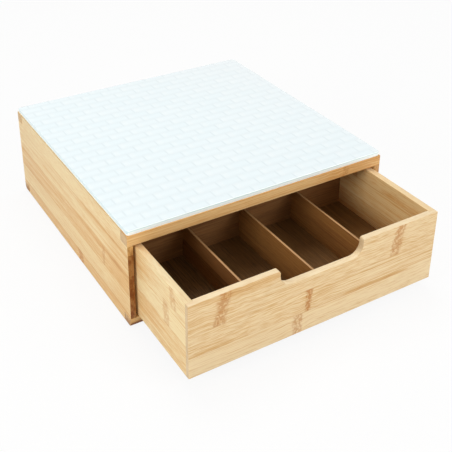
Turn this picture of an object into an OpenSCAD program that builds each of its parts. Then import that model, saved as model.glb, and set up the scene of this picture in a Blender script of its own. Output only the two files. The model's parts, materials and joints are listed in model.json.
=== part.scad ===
// Capsule drawer cabinet: a low bamboo cabinet under a glass top, with one drawer that slides out
// at the front and holds a grid of compartments. Millimetres, X to the right, Y to the back, Z up.
// The origin is on the table, under the middle of the box round the part with its drawer part open.

/* [Cabinet] */
// Width of the cabinet, left to right
cab_w = 300; // [240:1:400]
// Depth of the cabinet, front to back
cab_d = 300; // [240:1:400]
// Height of the wooden cabinet, without the glass and the feet
cab_h = 104.5; // [95:0.5:160]
// Thickness of the two side boards
side_t = 6; // [5:0.5:12]
// Depth of the four rails, front to back
rail_d = 14; // [13:0.5:24]
// Height of the two top rails
top_rail_h = 11.5; // [8:0.5:20]
// Height of the two bottom rails
bottom_rail_h = 10; // [8:0.5:16]
// Radius of the rounded lower outer edge of the bottom rails
rail_edge_r = 4.5; // [1:0.5:5]
// Thickness of the top board and the base board
panel_t = 4; // [3:0.5:6]
// Thickness of the back board
back_t = 5; // [3:0.5:6]
// Depth of the grooves and rabbets that hold the boards of the cabinet
cab_groove = 3; // [2:0.5:4]
// Wood left between the back board and the rabbets of the back rails
groove_web = 2; // [1:0.5:3]

/* [Glass] */
// Thickness of the glass top
glass_t = 5; // [3:0.5:8]
// Radius of the corners of the glass top
glass_corner_r = 3; // [1:0.5:12]
// From the outer faces of the cabinet to the edges of the glass
glass_inset = 0.8; // [0:0.1:3]

/* [Feet] */
// Diameter of a stick-on foot
foot_dia = 9; // [5:0.5:9]
// Thickness of a stick-on foot
foot_h = 1.5; // [1:0.5:4]
// From a side of the cabinet to the middle of a foot
foot_inset = 20; // [10:1:60]

/* [Drawer] */
// How far the drawer is pulled out
drawer_out = 98; // [0:1:180]
// Height of the drawer
drawer_h = 80; // [60:1:80]
// Thickness of the drawer's front board
front_t = 7; // [6:0.5:14]
// Wood of the front board that is left in front of the side boards, which sit in its rabbets
front_lip = 4.5; // [2:0.5:5]
// Thickness of the drawer's side boards
drawer_side_t = 7.5; // [5:0.5:12]
// Thickness of the drawer's back board
drawer_back_t = 7; // [5:0.5:12]
// Thickness of the drawer's floor
floor_t = 3.5; // [2.5:0.5:6]
// From the drawer's lower edge to the underside of its floor
floor_lift = 14; // [4:0.5:16]
// Depth of the grooves and rabbets in the drawer's side boards and back board
drawer_groove = 3.5; // [2:0.5:4]

/* [Finger cut-out] */
// Width of the finger cut-out between its side walls
cut_w = 94; // [60:1:160]
// Depth of the finger cut-out
cut_depth = 18; // [18:0.5:30]
// Radius of the cut-out's lower corners
cut_r = 12; // [4:0.5:13]
// Radius of the cut-out's upper corners
lip_r = 3; // [1:0.5:5]

/* [Dividers] */
// Thickness of the dividers
divider_t = 2.5; // [2:0.5:6]
// Height of the dividers above the drawer's floor
divider_h = 37.5; // [20:0.5:44]
// Depth of the dadoes that hold the ends of the dividers
dado_d = 3; // [1.5:0.5:4]

/* [Clearances] */
// Gap between the drawer and each side board
side_gap = 2.6; // [0.5:0.1:3]
// Gap between the drawer and the base board
slide_gap = 0.4; // [0.3:0.1:1]
// Gap between the closed drawer and the back board
rear_gap = 5; // [1:0.5:20]
// Gap on each side of a divider in its half-lap slot
lap_gap = 0.1; // [0.05:0.05:0.3]

/* [Hidden] */
$fn = 64;
// How far a cut runs past the face that it opens
over = 1;

// The cabinet's front face and its inner faces
cab_front_y = -(cab_d - drawer_out) / 2;
inner_x = cab_w / 2 - side_t;
back_board_y = cab_d - rail_d + cab_groove + groove_web;

// The drawer, from its own front lower edge
drawer_w = 2 * (inner_x - side_gap);
drawer_l = back_board_y - rear_gap;
drawer_z = foot_h + bottom_rail_h + slide_gap;
drawer_inner_x = drawer_w / 2 - drawer_side_t;
drawer_back_y = drawer_l - drawer_back_t;
floor_top = floor_lift + floor_t;
divider_top = floor_top + divider_h;
lap_z = floor_top + divider_h / 2;
divider_pitch = (2 * drawer_inner_x + divider_t) / 4;
cross_y = (front_t + drawer_back_y - divider_t) / 2;

wood = "#e2bf8d";
pale_wood = "#ecd3a8";
shaded_wood = "#a98354";
glass_white = "#e4eff2";
pad_grey = "#b9b9b4";

// Shapes that repeat

// A block between its lowest and its highest corner
module block(low, high) {
    translate(low) cube(high - low);
}

// Places a piece of the cabinet, drawn from the middle of the cabinet's front lower edge
module in_cabinet() {
    translate([0, cab_front_y, foot_h]) children();
}

// Places a piece of the drawer, drawn from the middle of the drawer's front lower edge
module in_drawer() {
    translate([0, cab_front_y - drawer_out, drawer_z]) children();
}

// Turns a piece of the cabinet's front into its counterpart at the back
module at_back() {
    translate([0, cab_d, 0]) mirror([0, 1, 0]) children();
}

// Cabinet shapes

module base_board_shape(above = 0) {
    reach = inner_x + cab_groove;
    block(
        [-reach, rail_d - cab_groove, bottom_rail_h - panel_t],
        [reach, cab_d - rail_d + cab_groove, bottom_rail_h + above]
    );
}

module top_board_shape(above = 0) {
    reach = inner_x + cab_groove;
    block(
        [-reach, rail_d - cab_groove, cab_h - panel_t],
        [reach, cab_d - rail_d + cab_groove, cab_h + above]
    );
}

module back_board_shape() {
    reach = inner_x + cab_groove;
    block(
        [-reach, back_board_y, bottom_rail_h - cab_groove],
        [reach, back_board_y + back_t, cab_h - top_rail_h + cab_groove]
    );
}

// The notches that two rails need at the front corners of the side boards
module rail_notches() {
    reach = cab_w / 2 + over;
    block([-reach, -over, cab_h - top_rail_h], [reach, rail_d, cab_h + over]);
    block([-reach, -over, -over], [reach, rail_d, bottom_rail_h]);
}

module side_board_shape() {
    difference() {
        block([-cab_w / 2, 0, 0], [-inner_x, cab_d, cab_h]);
        rail_notches();
        at_back() rail_notches();
        base_board_shape();
        top_board_shape(over);
        back_board_shape();
    }
}

module top_rail_shape() {
    block([-cab_w / 2, 0, cab_h - top_rail_h], [cab_w / 2, rail_d, cab_h]);
}

// Section of a bottom rail, with its lower outer edge rounded
module bottom_rail_section() {
    difference() {
        square([rail_d, bottom_rail_h]);
        difference() {
            translate([-over, -over]) square(rail_edge_r + over);
            translate([rail_edge_r, rail_edge_r]) circle(rail_edge_r);
        }
    }
}

module bottom_rail_shape() {
    translate([-cab_w / 2, 0, 0]) rotate([90, 0, 90]) linear_extrude(cab_w) bottom_rail_section();
}

// Drawer shapes

// A side board without its grooves and rabbets
module drawer_side_block(past = 0) {
    block(
        [-drawer_w / 2 - past, front_lip, -past],
        [-drawer_inner_x, drawer_l, drawer_h + past]
    );
}

// The floor reaches as far forward as the side boards do
module drawer_floor_shape(ahead = 0) {
    reach = drawer_inner_x + drawer_groove;
    block(
        [-reach, front_lip - ahead, floor_lift],
        [reach, drawer_back_y + drawer_groove, floor_top]
    );
}

module drawer_back_block(behind = 0) {
    reach = drawer_inner_x + drawer_groove;
    block([-reach, drawer_back_y, 0], [reach, drawer_l + behind, drawer_h]);
}

// A divider without its slot, at its place from the middle of the drawer, counted in pitches
module divider_block(place) {
    x = place * divider_pitch;
    block(
        [x - divider_t / 2, front_t - dado_d, floor_top],
        [x + divider_t / 2, drawer_back_y + dado_d, divider_top]
    );
}

module cross_block() {
    reach = drawer_inner_x + dado_d;
    block([-reach, cross_y, floor_top], [reach, cross_y + divider_t, divider_top]);
}

// A divider with the upper half of its half lap cut out
module divider_shape(place) {
    x = place * divider_pitch;
    difference() {
        divider_block(place);
        block(
            [x - divider_t / 2 - over, cross_y - lap_gap, lap_z],
            [x + divider_t / 2 + over, cross_y + divider_t + lap_gap, divider_top + over]
        );
    }
}

// Outline of the finger cut-out, from the middle of its floor, open at the top
module finger_cut_outline() {
    half = cut_w / 2;
    translate([-half, cut_r]) square([cut_w, cut_depth - cut_r + over]);
    translate([-half + cut_r, 0]) square([cut_w - 2 * cut_r, cut_r + over]);
    for (side = [-1, 1]) {
        translate([side * (half - cut_r), cut_r]) circle(cut_r);
        translate([side * (half + lip_r), cut_depth - lip_r]) difference() {
            translate([side < 0 ? 0 : -lip_r - over, 0]) square(lip_r + over);
            circle(lip_r);
        }
    }
}

module drawer_front_outline() {
    difference() {
        translate([-drawer_w / 2, 0]) square([drawer_w, drawer_h]);
        translate([0, drawer_h - cut_depth]) finger_cut_outline();
    }
}

module drawer_side_shape() {
    difference() {
        drawer_side_block();
        drawer_floor_shape(over);
        drawer_back_block(over);
        cross_block();
    }
}

// Pieces of the cabinet

module left_side_board() {
    color(wood) in_cabinet() side_board_shape();
}

module right_side_board() {
    color(wood) in_cabinet() mirror([1, 0, 0]) side_board_shape();
}

module top_front_rail() {
    color(wood) in_cabinet() difference() {
        top_rail_shape();
        top_board_shape(over);
    }
}

module top_back_rail() {
    color(wood) in_cabinet() difference() {
        at_back() top_rail_shape();
        top_board_shape(over);
        back_board_shape();
    }
}

module bottom_front_rail() {
    color(wood) in_cabinet() difference() {
        bottom_rail_shape();
        base_board_shape(over);
    }
}

module bottom_back_rail() {
    color(wood) in_cabinet() difference() {
        at_back() bottom_rail_shape();
        base_board_shape(over);
        back_board_shape();
    }
}

module back_board() {
    color(wood) in_cabinet() back_board_shape();
}

module base_board() {
    color(shaded_wood) in_cabinet() base_board_shape();
}

module top_board() {
    color(shaded_wood) in_cabinet() top_board_shape();
}

// What is cut off the glass at its corner towards +X and +Y, from the middle of the corner's round
module glass_corner_cut() {
    difference() {
        square(glass_corner_r + over);
        circle(glass_corner_r);
    }
}

module glass_outline() {
    glass_w = cab_w - 2 * glass_inset;
    glass_d = cab_d - 2 * glass_inset;
    difference() {
        square([glass_w, glass_d], center = true);
        for (flip_x = [0, 1], flip_y = [0, 1]) {
            mirror([flip_x, 0]) mirror([0, flip_y])
                translate([glass_w / 2 - glass_corner_r, glass_d / 2 - glass_corner_r])
                    glass_corner_cut();
        }
    }
}

module glass_top() {
    color(glass_white) in_cabinet() translate([0, cab_d / 2, cab_h])
        linear_extrude(glass_t) glass_outline();
}

module feet() {
    // The middle of the flat that the rounded edge leaves under a bottom rail
    foot_y = (rail_edge_r + rail_d) / 2;
    color(pad_grey) translate([0, cab_front_y, 0]) {
        for (side = [-1, 1], y = [foot_y, cab_d - foot_y]) {
            translate([side * (cab_w / 2 - foot_inset), y, 0]) cylinder(h = foot_h, d = foot_dia);
        }
    }
}

// Pieces of the drawer

module drawer_front() {
    color(wood) in_drawer() difference() {
        translate([0, front_t, 0]) rotate([90, 0, 0]) linear_extrude(front_t) drawer_front_outline();
        drawer_floor_shape();
        drawer_side_block(over);
        mirror([1, 0, 0]) drawer_side_block(over);
        for (place = [-1, 0, 1]) {
            divider_block(place);
        }
    }
}

module drawer_left_side() {
    color(wood) in_drawer() drawer_side_shape();
}

module drawer_right_side() {
    color(wood) in_drawer() mirror([1, 0, 0]) drawer_side_shape();
}

module drawer_back() {
    color(wood) in_drawer() difference() {
        drawer_back_block();
        drawer_floor_shape();
        for (place = [-1, 0, 1]) {
            divider_block(place);
        }
    }
}

module drawer_floor() {
    color(shaded_wood) in_drawer() drawer_floor_shape();
}

module divider_left() {
    color(pale_wood) in_drawer() divider_shape(-1);
}

module divider_middle() {
    color(pale_wood) in_drawer() divider_shape(0);
}

module divider_right() {
    color(pale_wood) in_drawer() divider_shape(1);
}

// The lower half of each half lap is cut out of the cross divider
module cross_divider() {
    slot_w = divider_t + 2 * lap_gap;
    color(pale_wood) in_drawer() difference() {
        cross_block();
        for (place = [-1, 0, 1]) {
            translate([place * divider_pitch - slot_w / 2, cross_y - over, floor_top - over])
                cube([slot_w, divider_t + 2 * over, lap_z - floor_top + over]);
        }
    }
}

left_side_board();
right_side_board();
top_front_rail();
top_back_rail();
bottom_front_rail();
bottom_back_rail();
back_board();
base_board();
top_board();
glass_top();
feet();
drawer_front();
drawer_left_side();
drawer_right_side();
drawer_back();
drawer_floor();
divider_left();
divider_middle();
divider_right();
cross_divider();
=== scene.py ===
"""A low bamboo cabinet with a printed glass top and one drawer for coffee capsules.

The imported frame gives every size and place. Each board is a copy of its frame node with its edges
eased and its own cut of laminated bamboo, and the glass and the feet are finished the same way.
"""

import json
import math
import random
from dataclasses import dataclass, field, replace

import bmesh
import bpy
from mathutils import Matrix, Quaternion, Vector
from mathutils.bvhtree import BVHTree


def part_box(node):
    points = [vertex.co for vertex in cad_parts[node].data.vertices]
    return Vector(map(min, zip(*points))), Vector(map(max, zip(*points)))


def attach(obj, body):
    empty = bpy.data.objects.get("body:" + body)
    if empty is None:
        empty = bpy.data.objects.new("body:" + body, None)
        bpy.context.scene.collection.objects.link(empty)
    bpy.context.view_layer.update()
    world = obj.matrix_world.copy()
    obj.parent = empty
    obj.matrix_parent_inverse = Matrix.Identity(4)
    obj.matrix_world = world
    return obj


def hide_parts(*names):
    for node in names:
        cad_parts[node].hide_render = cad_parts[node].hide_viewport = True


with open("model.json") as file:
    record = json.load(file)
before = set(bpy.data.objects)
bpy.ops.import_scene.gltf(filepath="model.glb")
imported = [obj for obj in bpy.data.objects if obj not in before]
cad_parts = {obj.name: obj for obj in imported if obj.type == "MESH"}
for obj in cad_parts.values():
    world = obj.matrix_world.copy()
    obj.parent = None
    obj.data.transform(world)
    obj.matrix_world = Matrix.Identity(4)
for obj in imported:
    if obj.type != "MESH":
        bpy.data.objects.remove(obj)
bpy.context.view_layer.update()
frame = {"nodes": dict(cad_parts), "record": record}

MM = 0.001

# What the record says: the nodes of each body, and the material slot of each node
BODIES = frame["record"]["behaviour"]["bodies"]
SLOTS = {part["node"]: part["material_slot"] for part in frame["record"]["subparts"]}
THIN_SLOT = "thin_bamboo"
BOARD_SLOTS = ("bamboo", THIN_SLOT)

# The photograph's camera: its place in metres, its turns in degrees and its lens in millimetres
CAMERA_PLACE = Vector((-0.4020, -0.6798, 0.5396))
CAMERA_AZIMUTH = -31.63
CAMERA_ELEVATION = 26.19
CAMERA_ROLL = 0.54
CAMERA_LENS = 66.2
CAMERA_SHIFT_Y = -0.25

# Where the lamps point, in metres, and how strongly the backdrop lights the part
LAMP_AIM = Vector((0, 0, 0.05))
BACKDROP_LIGHT = 0.4

# Half the floor's width in metres, and how much of what the camera sees of it is plain white
FLOOR_REACH = 6.0
FLOOR_WHITE = 0.9
WHITE = (1, 1, 1, 1)
BLACK = (0, 0, 0, 1)

# How far an edge is eased on the drawer's thick boards, the other boards, the glass and a foot,
# and the groove at a seam
BOARD_EASE = 0.9 * MM
THIN_EASE = 0.5 * MM
GLASS_EASE = 0.7 * MM
FOOT_EASE = 0.4 * MM
SEAM_EASE = 0.14 * MM
EASE_STEPS = 3

# Two points closer than the first are one, and two pieces closer than the second touch
MERGING = 0.001 * MM
TOUCHING = 0.15 * MM

# An edge flatter than the first is dissolved, and one sharper than the second is eased
FLAT_EDGE = math.radians(0.5)
SHARP_EDGE = math.radians(35)

# Where along an edge its neighbours are looked for
EDGE_SAMPLES = (0.1, 0.3, 0.5, 0.7, 0.9)


def colour(code):
    """A linear colour from its usual code, such as #e2bf8d."""
    shares = [int(code[start:start + 2], 16) / 255 for start in (1, 3, 5)]
    linear = [s / 12.92 if s <= 0.04045 else ((s + 0.055) / 1.055) ** 2.4 for s in shares]
    return (*linear, 1.0)


# Shader maths


class Output:
    """One output of a node in a material. Arithmetic on it adds Math nodes."""

    def __init__(self, shader, socket):
        self.shader = shader
        self.socket = socket

    def math(self, operation, *values):
        sockets = dict(enumerate(values))
        return self.shader.node("Math", {"operation": operation}, sockets)

    def __add__(self, other):
        return self.math("ADD", self, other)

    def __radd__(self, other):
        return self.math("ADD", other, self)

    def __sub__(self, other):
        return self.math("SUBTRACT", self, other)

    def __rsub__(self, other):
        return self.math("SUBTRACT", other, self)

    def __mul__(self, other):
        return self.math("MULTIPLY", self, other)

    def __rmul__(self, other):
        return self.math("MULTIPLY", other, self)

    def __truediv__(self, other):
        return self.math("DIVIDE", self, other)

    def __abs__(self):
        return self.math("ABSOLUTE", self)

    def floor(self):
        return self.math("FLOOR", self)

    def fraction(self):
        return self.math("FRACT", self)

    def smaller(self, other):
        return self.math("MINIMUM", self, other)

    def larger(self, other):
        return self.math("MAXIMUM", self, other)

    def above(self, level):
        return self.math("GREATER_THAN", self, level)

    def rise(self, low, high):
        """0 below low, 1 above high, and smooth between them. It falls where high is the lower one."""
        limits = {"Value": self, "From Min": low, "From Max": high}
        return self.shader.node("MapRange", {"interpolation_type": "SMOOTHSTEP"}, limits)


class Shader:
    """The node tree of a material or of the world."""

    def __init__(self, tree):
        self.tree = tree
        self.tree.nodes.clear()

    def node(self, kind, settings, sockets, output=0):
        """Adds a node of that kind, sets it up, fills its sockets and gives one of its outputs."""
        made = self.tree.nodes.new("ShaderNode" + kind)
        for name, value in settings.items():
            setattr(made, name, value)
        for key, value in sockets.items():
            if isinstance(value, Output):
                self.tree.links.new(value.socket, made.inputs[key])
            else:
                made.inputs[key].default_value = value
        return Output(self, made.outputs[output]) if made.outputs else None

    def mix(self, share, start, end):
        """A colour between two colours."""
        return self.node("Mix", {"data_type": "RGBA"}, {0: share, 6: start, 7: end}, 2)

    def split(self, vector):
        """The three parts of a vector, by the names of the axes."""
        return {axis: self.node("SeparateXYZ", {}, {0: vector}, axis) for axis in "XYZ"}

    def place(self):
        """Where a point lies in the frame, in millimetres."""
        metres = self.split(self.node("TexCoord", {}, {}, "Object"))
        return {axis: part * 1000 for axis, part in metres.items()}

    def facing(self):
        """The direction that a point's surface faces."""
        return self.split(self.node("TexCoord", {}, {}, "Normal"))

    def noise(self, x, y, z, detail):
        at = self.node("CombineXYZ", {}, {0: x, 1: y, 2: z})
        looks = {"Vector": at, "Scale": 1.0, "Detail": detail, "Roughness": 0.55}
        return self.node("TexNoise", {}, looks, "Fac")

    def cells(self, x, y, z):
        """Distance from the middle of the nearest cell."""
        at = self.node("CombineXYZ", {}, {0: x, 1: y, 2: z})
        return self.node("TexVoronoi", {}, {"Vector": at, "Scale": 1.0}, "Distance")

    def seen_directly(self):
        """1 for what the camera sees, also by way of gloss or glass."""
        camera = self.node("LightPath", {}, {}, "Is Camera Ray")
        gloss = self.node("LightPath", {}, {}, "Is Glossy Ray")
        glass = self.node("LightPath", {}, {}, "Is Transmission Ray")
        return camera.larger(gloss).larger(glass)

    def surface(self, base, roughness, constants, height=None, depth=0.0):
        """Joins the material's surface to its output."""
        sockets = {"Base Color": base, "Roughness": roughness, **constants}
        if height is not None:
            relief = {"Height": height, "Distance": depth, "Strength": 1.0}
            sockets["Normal"] = self.node("Bump", {}, relief)
        principled = self.node("BsdfPrincipled", {}, sockets)
        self.node("OutputMaterial", {}, {"Surface": principled})


def new_material(name):
    material = bpy.data.materials.new(name)
    material.use_nodes = True
    return material, Shader(material.node_tree)


# Woods and cuts


@dataclass
class Wood:
    """The colours of a kind of bamboo: its strips from pale to dark, its marks, its cut edges, and the
    paler colour painted on its upward faces as painted light from above.
    """

    pale: str
    middle: str
    dark: str
    mark: str
    end: str
    end_dark: str
    painted_top_light: str


BLOND = Wood(
    pale="#f2dcaa", middle="#dfb172", dark="#c58642", mark="#bf7526",
    end="#dcbc8e", end_dark="#c79f69", painted_top_light="#f9e9c8",
)
BLOND_PALE_ENDS = replace(BLOND, pale="#f8deb0", end="#dfc6a0", end_dark="#cca978")
BLOND_DARK_ENDS = replace(BLOND, end="#d8a762", end_dark="#87480c")
BLOND_TAN_ENDS = replace(BLOND, end="#dcae74", end_dark="#bb8347")
# Blond for the bottom rails, with darker colours for the painted shade along their lower edge
BLOND_FOOT_PAINTED_SHADE = replace(
    BLOND, pale="#ecc588", middle="#d8a767", dark="#8c582b", end="#e3c08c", end_dark="#a97840"
)
AMBER = replace(BLOND, pale="#eecb90", middle="#d9a05a", dark="#b47436")
# The top front rail's orange is partly its own tone and partly painted light reflected from the drawer's
# wood
ORANGE_AND_PAINTED_BOUNCE = replace(
    BLOND, pale="#f6cd8f", middle="#e1a660", dark="#b27233", end="#d6b586", end_dark="#c19862"
)
BROWN = Wood(
    pale="#8f6238", middle="#704723", dark="#4d2d12", mark="#41260f",
    end="#6b4826", end_dark="#4d2d12", painted_top_light="#c89c6b",
)
# A lighter copy of the brown for the middle and right dividers: painted light on the dividers that stand in
# light
BROWN_PAINTED_LIT = replace(BROWN, pale="#a3733c", middle="#85562a", dark="#5e3917")
BROWN_DULL = replace(BROWN, pale="#956a3f", middle="#754f2d", dark="#4d3119")
BROWN_FLOOR = replace(BROWN, pale="#946c3d", middle="#74522d", dark="#3f2c19")


@dataclass
class Mark:
    """A node of the bamboo cane across one strip, in millimetres: its place along the fibres, the
    strip's two sides, how much it leans, how strongly it shows and half its width."""

    along: float
    low: float
    high: float
    lean: float = 0.0
    strength: float = 1.0
    width: float = 5.0


@dataclass
class StainOrPaintedShade:
    """A stretch of darker colour, in millimetres: its two ends along the fibres and its two sides. Some are
    stains in the fibres, and some are painted shade.
    """

    start: float
    stop: float
    low: float
    high: float
    strength: float = 0.4


@dataclass
class Cut:
    """How a board is cut: its fibres' axis, its strips' axis, and its strips' seams and features.

    A tone is how dark a strip is, an end tone is how dark it is where it is cut across, and the
    contrast is how strongly the fibres show.
    """

    grain: str
    across: str
    seams: list
    tones: list
    marks: list = field(default_factory=list)
    dark_stretches: list = field(default_factory=list)
    end_tones: list = None
    contrast: float = 1.0


# Usual width of a bamboo strip in millimetres, and the share of it that the first strip may have
STRIP_WIDTH = 24
FIRST_STRIP = (0.35, 1.0)

# What a seeded hand draws for a strip: its tone, how often it has a mark or a stain, how much a mark
# leans and how strongly it shows, and half the length and the width of a stain in millimetres
DRAWN_TONE = (0.15, 0.55)
MARK_CHANCE = 0.7
MARK_LEAN = (-0.2, 0.2)
MARK_STRENGTH = 0.8
STAIN_CHANCE = 0.6
STAIN_REACH = (20, 60)
STAIN_WIDTH = (3, 7)


def even_cut(node, grain, across, seed):
    """A cut with strips of the usual width, whose tones, marks and stains a seeded hand draws."""
    hand = random.Random(seed)
    low, high = [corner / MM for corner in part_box(node)]
    bottom = low["XYZ".index(across)]
    top = high["XYZ".index(across)]
    first = bottom + STRIP_WIDTH * hand.uniform(*FIRST_STRIP)
    seams = [first + STRIP_WIDTH * turn for turn in range(int((top - first) / STRIP_WIDTH) + 1)]
    cut = Cut(grain, across, seams, [hand.uniform(*DRAWN_TONE) for _ in range(len(seams) + 1)])
    edges = [bottom, *seams, top]
    start = low["XYZ".index(grain)]
    stop = high["XYZ".index(grain)]
    for below, above in zip(edges, edges[1:]):
        if hand.random() < MARK_CHANCE:
            along = hand.uniform(start, stop)
            cut.marks.append(Mark(along, below, above, hand.uniform(*MARK_LEAN), MARK_STRENGTH))
        if hand.random() < STAIN_CHANCE:
            middle = hand.uniform(start, stop)
            reach = hand.uniform(*STAIN_REACH)
            width = hand.uniform(*STAIN_WIDTH)
            cut.dark_stretches.append(StainOrPaintedShade(middle - reach, middle + reach, below, below + width))
    return cut


# Laminated bamboo


@dataclass
class Flecks:
    """A layer of noise in the wood: the length and width of its flecks in millimetres, a number that
    sets it apart from the other layers, its detail, and how fast it changes through the board."""

    length: float
    width: float
    layer: float
    detail: int
    through: float = 0.0


DRIFT = Flecks(60, 24, 0, 2)
WAVES = Flecks(20, 13, 5, 1)
CLOUDS = Flecks(110, 14, 0, 2)
LINES = Flecks(110, 1.05, 11, 2)
DASHES = Flecks(13, 0.85, 23, 2, through=0.7)
STRAIGHT = Flecks(150, 60, 17, 1)
BUNDLES = Flecks(24, 0.42, 37, 1, through=1.9)
RAGGED = Flecks(14, 3.5, 61, 3)
CURLS = Flecks(4.5, 6.5, 83, 1)
DOTS = Flecks(2.0, 2.4, 53, 2)
SEAM_PATCHES = Flecks(45, 30, 71, 1)
END_PATCH_LAYER = 43

# How far fibres drift, wave and swerve round a mark, and how ragged a mark is, in millimetres
DRIFT_REACH = 2.8
WAVE_REACH = 0.8
SWERVE_REACH = 6
RAGGED_REACH = 9

# How far from a mark the fibres swerve, how soft the ends of a darker stretch are, the size of a cut fibre
# and the depth of the relief, in millimetres
SWERVE_START = 55
SWERVE_FULL = 5
DARKENING_FADE = 20
FIBRE_DOT = 0.85
RELIEF = 0.12

# How dark a strip's end is beside its face, where the cut doesn't say
END_TONE_SHARE = 0.6


class Strips:
    """The strips of a board in a shader: where a point lies along, across and through them.

    The strand is a number of each strip's own, which gives it a pattern like no other.
    """

    def __init__(self, shader, cut, seed):
        place = shader.place()
        self.shader = shader
        self.along = place[cut.grain]
        self.across = place[cut.across]
        self.deep = next(part for axis, part in place.items() if axis not in (cut.grain, cut.across))
        self.past = [self.across.above(seam) for seam in cut.seams]
        strip = self.by_strip(range(len(self.past) + 1))
        self.strand = self.deep * 0.05 + strip * 7.31 + seed * 3.17

    def by_strip(self, values):
        """One value for each strip."""
        steps = [after - before for before, after in zip(values, values[1:])]
        return sum((crossed * step for crossed, step in zip(self.past, steps)), values[0])

    def noise(self, flecks, across=None):
        """A layer of flecks, which follows wandering fibres where their place across is given."""
        strand = self.strand + flecks.layer
        if flecks.through:
            strand = self.deep * flecks.through + strand
        wide = (self.across if across is None else across) / flecks.width
        return self.shader.noise(self.along / flecks.length, wide, strand, flecks.detail)


def node_marks(strips, marks):
    """Where nodes of the cane leave ragged patches, and where the fibres swerve near them."""
    ragged = (strips.noise(RAGGED) - 0.5) * RAGGED_REACH
    marked = 0.0
    swerve = 0.0
    for mark in marks:
        middle = (mark.low + mark.high) / 2
        off = abs(strips.along - mark.along - (strips.across - middle) * mark.lean + ragged)
        inside = strips.across.above(mark.low) * (1 - strips.across.above(mark.high))
        marked = off.rise(mark.width, mark.width * 0.4) * inside * mark.strength + marked
        swerve = off.rise(SWERVE_START, SWERVE_FULL) * inside + swerve
    return marked, swerve


def squiggles(strips):
    """The curls and dots that fill a mark."""
    curl = abs(strips.noise(CURLS) - 0.5).rise(0.12, 0.05)
    dots = strips.noise(DOTS).rise(0.5, 0.62)
    return curl.larger(dots * 0.8)


def stains_and_painted_shade(strips, wandering, dark_stretches):
    """Where the darker stretches lie, with soft ends: stains in the fibres, and on some boards painted
    shade.
    """
    stain_and_shade = 0.0
    for darkening in dark_stretches:
        begun = strips.along.rise(darkening.start - DARKENING_FADE, darkening.start + DARKENING_FADE)
        not_over = strips.along.rise(darkening.stop + DARKENING_FADE, darkening.stop - DARKENING_FADE)
        above = wandering.rise(darkening.low - 1, darkening.low + 1)
        below = wandering.rise(darkening.high + 3, darkening.high - 1)
        stain_and_shade = begun * not_over * above * below * darkening.strength + stain_and_shade
    return stain_and_shade


def seam_lines(strips, seams):
    """The seams between strips: thin lines that come and go."""
    line = 0.0
    for seam in seams:
        line = abs(strips.across - seam).rise(0.7, 0.15) + line
    patchy = strips.noise(SEAM_PATCHES).rise(0.35, 0.65)
    return line * (patchy * 0.8 + 0.2)


def cut_end(strips, wood, darkness):
    """The colour of a board's end, where the cut fibres show as dots."""
    shader = strips.shader
    dot = shader.cells(strips.across / FIBRE_DOT, strips.deep / FIBRE_DOT, strips.strand).rise(0.5, 0.2)
    patch = shader.noise(strips.across / 7, strips.deep / 4, strips.strand + END_PATCH_LAYER, 2)
    rings = dot * 0.25 + patch.rise(0.35, 0.65) * 0.4 + darkness
    return shader.mix(rings.smaller(1.0), colour(wood.end), colour(wood.end_dark))


def bamboo(name, cut, wood, seed, top_light_share):
    """Strips glued side by side, with fibres along them, node marks across them and dotted ends."""
    material, shader = new_material(name)
    strips = Strips(shader, cut, seed)
    marked, swerve = node_marks(strips, cut.marks)
    squiggle = squiggles(strips)
    seam = seam_lines(strips, cut.seams)

    # Fibres: clouds, long lines, short dashes and fine dark bundles, new in every strip
    drift = (strips.noise(DRIFT) - 0.5) * DRIFT_REACH
    wave = (strips.noise(WAVES) - 0.5) * (swerve * SWERVE_REACH + WAVE_REACH)
    wandering = strips.across + drift + wave
    cloud = strips.noise(CLOUDS, wandering) - 0.5
    line = strips.noise(LINES, wandering) - 0.5
    dash = strips.noise(DASHES, wandering) - 0.5
    straight = strips.noise(STRAIGHT).rise(0.35, 0.65)
    fibre = (line * (straight * 1.7 + 0.8) + dash * (1.7 - straight * 0.9)) * cut.contrast
    bundle = strips.noise(BUNDLES).rise(0.6, 0.78)
    # The darker stretches: stains, and on some boards painted shade
    stain_and_shade = stains_and_painted_shade(strips, wandering, cut.dark_stretches)

    # From pale to dark, then the seams and the marks
    level = strips.by_strip(cut.tones) + stain_and_shade + cloud * 0.5 + fibre
    base = shader.mix(level.rise(-0.1, 0.9), colour(wood.pale), colour(wood.middle))
    base = shader.mix(level.rise(0.75, 1.5) + bundle * 0.15, base, colour(wood.dark))
    base = shader.mix(seam * 0.3, base, colour(wood.dark))
    base = shader.mix(marked * 0.2, base, colour(wood.dark))
    base = shader.mix(marked * squiggle * 0.55, base, colour(wood.mark))

    # Upward faces get a paler colour, which is painted light from above, and the ends are cut across the
    # fibres
    facing = shader.facing()
    base = shader.mix(facing["Z"].rise(0.5, 0.95) * top_light_share, base, colour(wood.painted_top_light))
    end_tones = cut.end_tones or [tone * END_TONE_SHARE for tone in cut.tones]
    end = cut_end(strips, wood, strips.by_strip(end_tones) + stain_and_shade * 0.3)
    base = shader.mix(abs(facing[cut.grain]).rise(0.55, 0.9), base, end)

    roughness = fibre * 0.12 + bundle * 0.1 + 0.5
    height = fibre * 0.5 - bundle * 0.25 - seam * 0.5 - marked * squiggle * 0.3
    lacquer = {"Specular IOR Level": 0.3, "Coat Weight": 0.06, "Coat Roughness": 0.3}
    shader.surface(base, roughness, lacquer, height, RELIEF * MM)
    return material


# Printed glass and rubber


# The printed tiles, and how much of a tile the front edge and the middle line cut off, in millimetres
TILE_LENGTH = 25.5
TILE_WIDTH = 12.12
TILE_CUT_FRONT = 2.0
TILE_CUT_MIDDLE = 11


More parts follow.
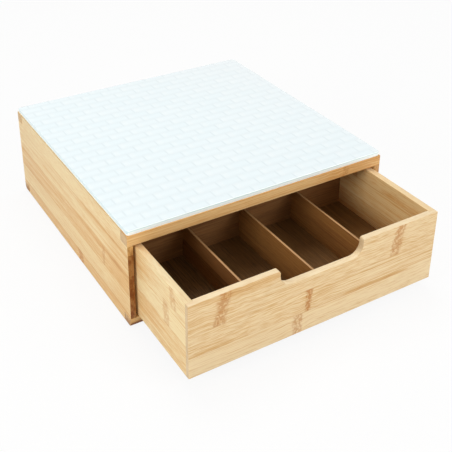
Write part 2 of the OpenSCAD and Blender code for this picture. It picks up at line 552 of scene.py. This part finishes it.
def tile_print(shader, place, front):
    """Pale tiles in a half bond. Each is a soft cushion: dim at its joints, and lit beside its left one."""
    rows = (place["Y"] - front + TILE_CUT_FRONT) / TILE_WIDTH
    row = rows.floor()
    shift = (row * 0.5).fraction()
    columns = (place["X"] + TILE_CUT_MIDDLE) / TILE_LENGTH + shift
    column = columns.floor()
    up = rows.fraction()
    right = columns.fraction()

    # Millimetres from a tile's four sides
    from_left = right * TILE_LENGTH
    from_right = (1 - right) * TILE_LENGTH
    from_front = up * TILE_WIDTH
    from_back = (1 - up) * TILE_WIDTH

    upright_joint = from_left.smaller(from_right).rise(1.5, 0.3)
    level_joint = from_front.smaller(from_back).rise(4.8, 0.2)
    unsteady = shader.noise(place["X"] / 9, place["Y"] / 9, 0.0, 2) + 0.5
    joint = (upright_joint * 0.45).larger(level_joint * 0.22) * unsteady
    lit = from_left.rise(1.2, 2.8) * from_left.rise(9.0, 5.0)
    tile = shader.node("CombineXYZ", {}, {0: column, 1: row})
    own = shader.node("TexWhiteNoise", {"noise_dimensions": "2D"}, {"Vector": tile}, "Value")
    cloud = shader.noise(place["X"] / 40, place["Y"] / 40, 3.0, 3)

    base = shader.mix(own * 0.5 + cloud * 0.5, colour("#f2fcfe"), colour("#edfafd"))
    base = shader.mix(lit * 0.35, base, colour("#f8ffff"))
    return shader.mix(joint, base, colour("#dce7ea"))


def plate_edge(shader, place, facing, top):
    """The plate's edge: tinted at the sides, with a green line under the polished arris in front."""
    depth = top - place["Z"]
    uneven = shader.noise(place["X"] / 30, place["Y"] / 30, 5.0, 2)
    arris = depth.rise(0.5, 1.0) * depth.rise(2.1, 1.4) * uneven.rise(0.1, 0.6)
    front = shader.mix(arris, colour("#f8fdfc"), colour("#cbe4e0"))
    side = shader.mix(depth.rise(3.0, 4.0), colour("#c0d5d8"), colour("#f2f8f6"))
    return shader.mix(abs(facing["X"]).rise(0.3, 0.8), front, side)


def printed_glass(name):
    """Glass with a print below, whose edge has a painted glow: it emits a faint light in place of the light
    that enters at the top.
    """
    material, shader = new_material(name)
    place = shader.place()
    facing = shader.facing()
    low, high = [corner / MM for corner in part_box("glass_top")]
    at_edge = facing["Z"].rise(0.93, 0.6)
    tiles = tile_print(shader, place, low.y)
    base = shader.mix(at_edge, tiles, plate_edge(shader, place, facing, high.z))
    # Painted glow: the edge emits light, though the glass is no lamp
    painted_glow = shader.mix(at_edge, BLACK, colour("#66706e"))
    smear = shader.noise(place["X"] / 25, place["Y"] / 60, 7.0, 3)
    coat = {"IOR": 1.5, "Coat Weight": 1.0, "Coat Roughness": 0.02, "Coat IOR": 1.5}
    light = {"Emission Color": painted_glow, "Emission Strength": 1.0}
    shader.surface(base, smear * 0.08 + 0.12, {**coat, **light})
    return material


def rubber(name):
    """Matt grey rubber with a fine grain."""
    material, shader = new_material(name)
    place = shader.place()
    grain = shader.noise(place["X"] / 0.4, place["Y"] / 0.4, place["Z"] / 0.4, 3)
    dust = shader.noise(place["X"] / 4, place["Y"] / 4, place["Z"] / 4, 2)
    base = shader.mix(grain * 0.4 + dust * 0.6, colour("#8f8f8b"), colour("#b6b6b0"))
    shader.surface(base, grain * 0.2 + 0.6, {"Specular IOR Level": 0.3}, grain, 0.05 * MM)
    return material


# Pieces


def body_of(node):
    return next(body for body, nodes in BODIES.items() if node in nodes)


def touching_tree(node):
    """What the edges of a node may touch: every other node of its own body."""
    whole = bmesh.new()
    for other in BODIES[body_of(node)]:
        if other != node:
            whole.from_mesh(frame["nodes"][other].data)
    tree = BVHTree.FromBMesh(whole)
    whole.free()
    return tree


def is_free(edge, tree):
    """True if most of an edge lies clear of the neighbours."""
    start, end = [v.co for v in edge.verts]
    points = [start.lerp(end, share) for share in EDGE_SAMPLES]
    clear = [tree.find_nearest(point, TOUCHING)[0] is None for point in points]
    return sum(clear) > len(points) / 2


def weighted_mesh(node, ease):
    """A node's mesh in whole faces, with each outer edge weighted for its easing."""
    mesh = bmesh.new()
    mesh.from_mesh(frame["nodes"][node].data)
    bmesh.ops.remove_doubles(mesh, verts=mesh.verts, dist=MERGING)
    bmesh.ops.dissolve_limit(
        mesh, angle_limit=FLAT_EDGE, verts=mesh.verts, edges=mesh.edges, use_dissolve_boundaries=False
    )
    weight = mesh.edges.layers.float.new("bevel_weight_edge")
    tree = touching_tree(node)
    for edge in mesh.edges:
        if edge.calc_face_angle(0.0) < SHARP_EDGE:
            continue
        if edge.is_convex:
            edge[weight] = 1.0 if is_free(edge, tree) else SEAM_EASE / ease
        else:
            edge.smooth = False
    for face in mesh.faces:
        face.smooth = True
    data = bpy.data.meshes.new(node + "_eased")
    mesh.to_mesh(data)
    mesh.free()
    return data


def eased_copy(node, ease, material):
    """A piece in the place of a frame node, with its outer edges eased and its seams just parted."""
    data = weighted_mesh(node, ease)
    data.materials.append(material)
    piece = bpy.data.objects.new(node + "_eased", data)
    bpy.context.scene.collection.objects.link(piece)
    bevel = piece.modifiers.new("eased_edges", "BEVEL")
    bevel.limit_method = "WEIGHT"
    bevel.width = ease
    bevel.segments = EASE_STEPS
    bevel.profile = 0.5
    bevel.use_clamp_overlap = False
    bevel.harden_normals = True
    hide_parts(node)
    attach(piece, body_of(node))


# Boards whose strips and node marks the photograph shows, in millimetres in the frame
FLOOR_SEAMS = list(range(-118, 134, STRIP_WIDTH))
# The floor's strips darken towards the left: painted shade cast by the drawer's left side
FLOOR_PAINTED_SHADE_TONES = [1.15 - 0.07 * strip for strip in range(len(FLOOR_SEAMS) + 1)]
# Painted shade along the bottom rails' lower edge, where the shadow under the cabinet falls
PAINTED_FOOT_SHADE = StainOrPaintedShade(-200, 200, -2, 6.5, 1.5)
SEEN_CUTS = {
    "drawer_front": Cut(
        "X", "Z", [34.4, 58.9], [0.08, 0.36, 0.32],
        marks=[
            Mark(-107.5, 59, 91.7, lean=0.2, width=8),
            Mark(91, 59, 91.7, lean=0.2, width=8),
            Mark(-14.5, 34.5, 59, lean=0.05, strength=1.3, width=4.5),
            Mark(-26, 11.9, 34.4, lean=0.1, strength=0.9, width=7),
        ],
        dark_stretches=[
            StainOrPaintedShade(-142, -90, 34.4, 36, 0.35),
            StainOrPaintedShade(30, 105, 34.4, 37, 0.55),
            StainOrPaintedShade(-10, 15, 46, 54, 0.25),
            StainOrPaintedShade(-98, -60, 81, 84, 0.3),
            StainOrPaintedShade(-100, -45, 87, 91, 0.35),
        ],
        contrast=1.15,
    ),
    "drawer_left_side": Cut(
        "Y", "Z", [20, 45, 71], [0.38, 0.38, 0.15, 0.2],
        marks=[
            Mark(-159, 45, 71, lean=0.05, strength=0.6, width=7),
            Mark(-172, 71, 91.7, lean=0.1, strength=0.6, width=7),
        ],
        dark_stretches=[StainOrPaintedShade(-145, -101, 24, 45, 0.25), StainOrPaintedShade(-130, -60, 62, 92, 0.3)],
    ),
    "left_side_board": Cut(
        "Y", "Z", [15.5, 38, 61, 84.5, 105.9], [0.6, 0.3, 0.6, 0.36, 0.25, 0.25],
        marks=[
            Mark(-43, 38, 61, strength=0.6, width=4),
            Mark(22, 1.5, 15.5, lean=0.2, strength=1.2, width=8),
        ],
        dark_stretches=[
            StainOrPaintedShade(-101, 30, 57, 61, 0.3),
            StainOrPaintedShade(-101, 10, 81, 84.5, 0.3),
            StainOrPaintedShade(110, 190, 38, 42, 0.3),
            # This stretch darkens the board towards its front: painted shade
            StainOrPaintedShade(-120, -60, 12, 92, 0.2),
        ],
        end_tones=[0.45, 0.5, 0.55, 0.45, 0.0, 0.0],
        contrast=0.75,
    ),
    "top_front_rail": Cut(
        "X", "Z", [], [0.15],
        marks=[Mark(103, 94, 106, strength=0.6)],
        # The second stretch darkens the rail's top edge under the glass: painted shade
        dark_stretches=[StainOrPaintedShade(70, 160, 94, 104, 0.35), StainOrPaintedShade(-200, 200, 104, 110, 0.4)],
    ),
    "bottom_front_rail": Cut("X", "Z", [], [0.35], dark_stretches=[PAINTED_FOOT_SHADE]),
    "bottom_back_rail": Cut("X", "Z", [], [0.35], dark_stretches=[PAINTED_FOOT_SHADE]),
    "drawer_floor": Cut("Y", "X", FLOOR_SEAMS, FLOOR_PAINTED_SHADE_TONES),
    # The left divider's lower strip is darker: painted shade cast by the drawer's left side
    "divider_left": Cut("Y", "Z", [50], [0.75, 0.05]),
    "divider_middle": Cut("Y", "Z", [43.4], [0.38, 0.32]),
    "divider_right": Cut("Y", "Z", [46], [0.47, 0.56]),
    # The cross divider's stretch darkens its left end: painted shade cast by the drawer's left side
    "cross_divider": Cut("X", "Z", [46], [0.3, 0.2], dark_stretches=[StainOrPaintedShade(-150, -40, 28, 68, 0.2)]),
}

# The other boards: the axis of their fibres and the axis of their strips
OTHER_CUTS = {
    "right_side_board": "YZ",
    "top_back_rail": "XZ",
    "back_board": "XZ",
    "base_board": "YX",
    "top_board": "YX",
    "drawer_right_side": "YZ",
    "drawer_back": "XZ",
}

# Boards whose wood isn't plain blond, or plain brown where they are thin
WOODS = {
    "left_side_board": BLOND_DARK_ENDS,
    "right_side_board": BLOND_TAN_ENDS,
    "bottom_front_rail": BLOND_FOOT_PAINTED_SHADE,
    "bottom_back_rail": BLOND_FOOT_PAINTED_SHADE,
    "top_front_rail": ORANGE_AND_PAINTED_BOUNCE,
    "top_back_rail": AMBER,
    "drawer_front": BLOND_PALE_ENDS,
    "drawer_right_side": AMBER,
    "drawer_back": AMBER,
    "drawer_floor": BROWN_FLOOR,
    "divider_middle": BROWN_PAINTED_LIT,
    "divider_right": BROWN_PAINTED_LIT,
    "cross_divider": BROWN_DULL,
}

# How much paler colour, painted light from above, the upward faces of the open boards get
PAINTED_TOP_LIGHT_SHARES = {
    "drawer_front": 0.4,
    "drawer_left_side": 0.2,
    "drawer_right_side": 0.35,
    "drawer_back": 0.35,
    "divider_left": 0.8,
    "divider_middle": 0.8,
    "divider_right": 0.8,
    "cross_divider": 0.8,
}


def make_boards():
    boards = [node for node, slot in SLOTS.items() if slot in BOARD_SLOTS]
    for seed, node in enumerate(boards, start=1):
        thin = SLOTS[node] == THIN_SLOT
        if node in SEEN_CUTS:
            cut = SEEN_CUTS[node]
        else:
            grain, across = OTHER_CUTS[node]
            cut = even_cut(node, grain, across, seed)
        wood = WOODS.get(node, BROWN if thin else BLOND)
        material = bamboo(node + "_bamboo", cut, wood, seed, PAINTED_TOP_LIGHT_SHARES.get(node, 0.0))
        ease = THIN_EASE if thin or node in BODIES["cabinet"] else BOARD_EASE
        eased_copy(node, ease, material)


# Stage, light and camera


def make_floor():
    """A pale floor that the camera sees nearly white, with the part's shadow on it."""
    mesh = bmesh.new()
    bmesh.ops.create_grid(mesh, x_segments=1, y_segments=1, size=FLOOR_REACH)
    data = bpy.data.meshes.new("floor")
    mesh.to_mesh(data)
    mesh.free()
    floor = bpy.data.objects.new("floor", data)
    bpy.context.scene.collection.objects.link(floor)
    material, shader = new_material("pale_floor")
    lit = shader.node("BsdfDiffuse", {}, {"Color": colour("#f4f4f3")})
    white = shader.node("Emission", {}, {"Color": WHITE, "Strength": 1.0})
    seen = shader.node("MixShader", {}, {0: shader.seen_directly() * FLOOR_WHITE, 1: lit, 2: white})
    shader.node("OutputMaterial", {}, {"Surface": seen})
    data.materials.append(material)


def make_world():
    """A white backdrop that lights the part softly from all sides."""
    world = bpy.data.worlds.new("studio")
    bpy.context.scene.world = world
    world.use_nodes = True
    shader = Shader(world.node_tree)
    soft = shader.node("Background", {}, {"Color": WHITE, "Strength": BACKDROP_LIGHT})
    white = shader.node("Background", {}, {"Color": WHITE, "Strength": 1.0})
    both = shader.node("MixShader", {}, {0: shader.seen_directly(), 1: soft, 2: white})
    shader.node("OutputWorld", {}, {"Surface": both})


def make_lamp(name, place, size, watts):
    """A square soft box that points at the part."""
    lamp = bpy.data.lights.new(name, "AREA")
    lamp.size = size
    lamp.energy = watts
    holder = bpy.data.objects.new(name, lamp)
    holder.location = place
    holder.rotation_mode = "QUATERNION"
    holder.rotation_quaternion = (LAMP_AIM - Vector(place)).to_track_quat("-Z", "Y")
    bpy.context.scene.collection.objects.link(holder)


def make_camera():
    data = bpy.data.cameras.new("camera")
    data.lens = CAMERA_LENS
    data.shift_y = CAMERA_SHIFT_Y
    camera = bpy.data.objects.new("camera", data)
    turn = math.radians(CAMERA_AZIMUTH)
    tilt = math.radians(CAMERA_ELEVATION)
    forward = Vector((-math.sin(turn) * math.cos(tilt), math.cos(turn) * math.cos(tilt), -math.sin(tilt)))
    roll = Quaternion((0, 0, 1), math.radians(CAMERA_ROLL))
    camera.location = CAMERA_PLACE
    camera.rotation_mode = "QUATERNION"
    camera.rotation_quaternion = forward.to_track_quat("-Z", "Y") @ roll
    bpy.context.scene.collection.objects.link(camera)
    bpy.context.scene.camera = camera


make_camera()
make_world()
make_floor()
make_lamp("key_lamp", place=(-1.47, -0.42, 0.66), size=0.7, watts=9.2)
make_lamp("fill_lamp", place=(0.95, -1.5, 1.0), size=1.0, watts=11.9)
make_lamp("top_lamp", place=(0.15, 0.6, 1.9), size=1.0, watts=14.2)
make_boards()
eased_copy("glass_top", GLASS_EASE, printed_glass("tile_print_glass"))
eased_copy("feet", FOOT_EASE, rubber("foot_rubber"))
bpy.context.scene.view_settings.view_transform = "Standard"
